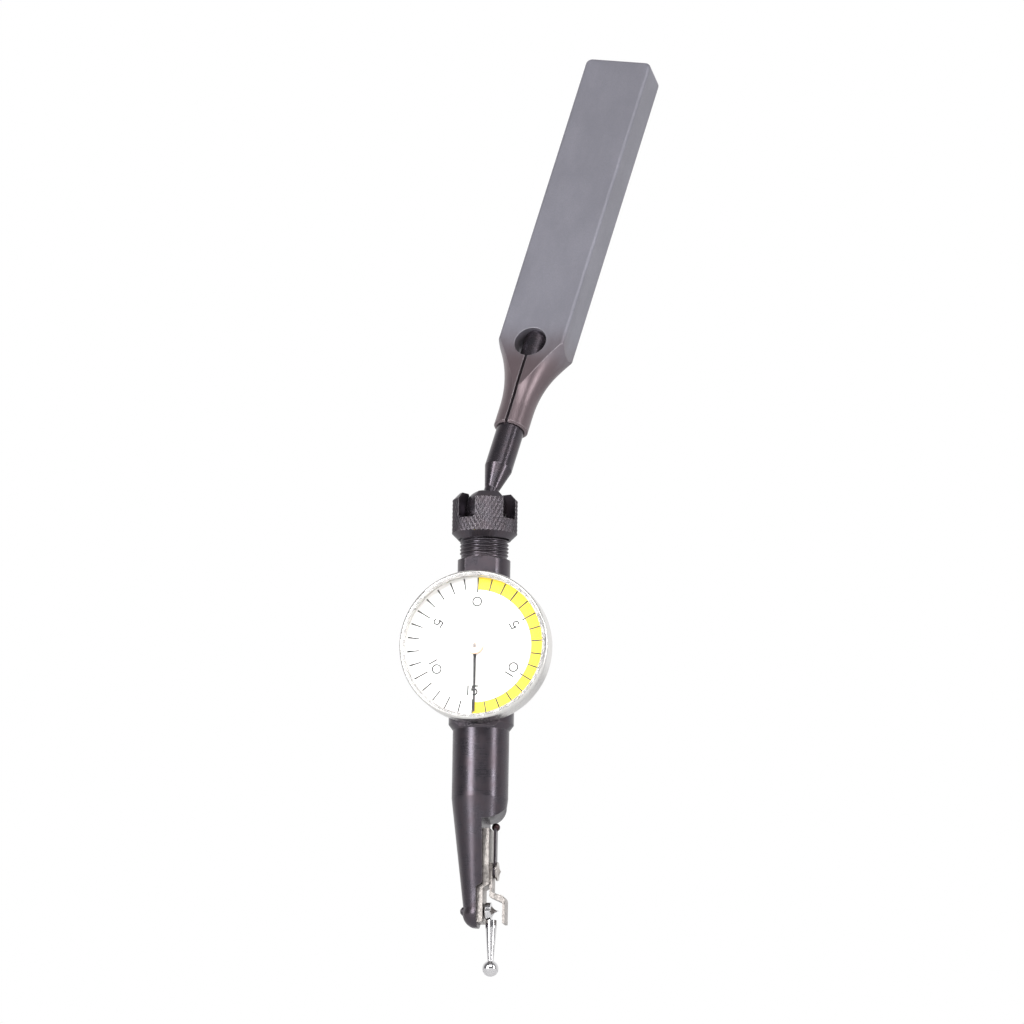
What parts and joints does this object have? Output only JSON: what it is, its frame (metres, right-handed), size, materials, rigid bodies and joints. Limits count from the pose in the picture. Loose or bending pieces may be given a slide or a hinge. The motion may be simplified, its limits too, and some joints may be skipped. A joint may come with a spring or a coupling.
{
  "type": "dial test indicator",
  "caption": "Lever type dial test indicator with a turning bezel and a swivelling contact, held by a flat tool post shank through a ball swivel and knurled clamp nut.",
  "frame": {"origin": "middle of the wide front face of the tool post shank", "axes": "+Z along the indicator's barrel from the contact to the clamp nut, -Y the way the dial faces, +X the side with the contact and its guard"},
  "size_m": [0.0353, 0.0457, 0.1638],
  "materials": {
    "blued_steel": "black oxide, semi gloss",
    "shank_steel": "ground and lightly blued, satin",
    "bright_steel": "machined, bright",
    "nickel": "polished nickel",
    "chrome": "hard chrome, polished",
    "brass": "machined",
    "copper_disc": "pale copper wash",
    "enamel": "white enamel with black and yellow print",
    "black_paint": "matt black",
    "clear": "clear, polished"
  },
  "bodies": {
    "shank": {"holder_shank": "shank_steel"},
    "rod": {"swivel_rod": "blued_steel"},
    "nut": {"clamp_nut": "blued_steel"},
    "indicator": {"indicator_body": "blued_steel", "ball_seat": "brass", "seat_spring_washer": "bright_steel", "dial_case": "nickel", "case_screws": "bright_steel", "bridge_screws": "bright_steel", "movement_bridge": "brass", "arbor_bush": "brass", "cross_shaft_bushes": "brass", "nose_plate": "bright_steel", "contact_guard": "bright_steel", "reversing_lever_screw": "bright_steel"},
    "bezel": {"bezel": "nickel", "bezel_spring_ring": "bright_steel", "crystal": "clear", "dial_face": "enamel"},
    "pointer": {"pointer": "black_paint", "pointer_hub": "copper_disc", "pointer_arbor": "bright_steel"},
    "cross_shaft": {"cross_shaft": "bright_steel", "crown_wheel": "brass"},
    "contact_lever": {"sector_lever": "bright_steel", "pivot_shaft": "blued_steel"},
    "contact": {"contact_hub": "chrome", "contact_stem": "chrome", "contact_ball": "chrome"},
    "reverser": {"reversing_lever": "blued_steel", "reversing_knob": "blued_steel"}
  },
  "joints": [
    {"name": "rod_turn", "type": "hinge", "parent": "shank", "child": "rod", "pos_m": [-0.0111, -0.02006, -0.05807], "axis": [0.1836, 0.3683, 0.9114], "continuous": true},
    {"name": "ball_swing", "type": "hinge", "parent": "rod", "child": "nut", "pos_m": [-0.0111, -0.02006, -0.05807], "axis": [-0.8949, 0.4462, 0], "range_deg": [-65.7, 114.3]},
    {"name": "nut_turn", "type": "hinge", "parent": "nut", "child": "indicator", "pos_m": [-0.0111, -0.02006, -0.05807], "axis": [0, 0, 1], "continuous": true},
    {"name": "bezel_turn", "type": "hinge", "parent": "indicator", "child": "bezel", "pos_m": [-0.0111, -0.02006, -0.08227], "axis": [0, 1, 0], "continuous": true},
    {"name": "contact_lever_swing", "type": "hinge", "parent": "indicator", "child": "contact_lever", "pos_m": [-0.0111, -0.02006, -0.12627], "axis": [-1, 0, 0], "range_deg": [0, 4.49], "stiffness_Nm_per_rad": 0.01, "springref_deg": -5.73},
    {"name": "cross_shaft_spin", "type": "hinge", "parent": "indicator", "child": "cross_shaft", "pos_m": [-0.0111, -0.02006, -0.08227], "axis": [1, 0, 0], "range_deg": [-2, 162]},
    {"name": "pointer_spin", "type": "hinge", "parent": "indicator", "child": "pointer", "pos_m": [-0.0111, -0.02006, -0.08227], "axis": [0, 1, 0], "range_deg": [-5, 365]},
    {"name": "contact_swivel", "type": "hinge", "parent": "contact_lever", "child": "contact", "pos_m": [-0.0111, -0.02006, -0.12627], "axis": [1, 0, 0], "range_deg": [-105, 105]},
    {"name": "reversing_lever_turn", "type": "hinge", "parent": "indicator", "child": "reverser", "pos_m": [-0.0085, -0.02006, -0.11957], "axis": [1, 0, 0], "range_deg": [-8, 8]}
  ],
  "couplings": [
    {"joint": "cross_shaft_spin", "follows": "contact_lever_swing", "ratio": 35.667},
    {"joint": "pointer_spin", "follows": "contact_lever_swing", "ratio": 80.25}
  ]
}
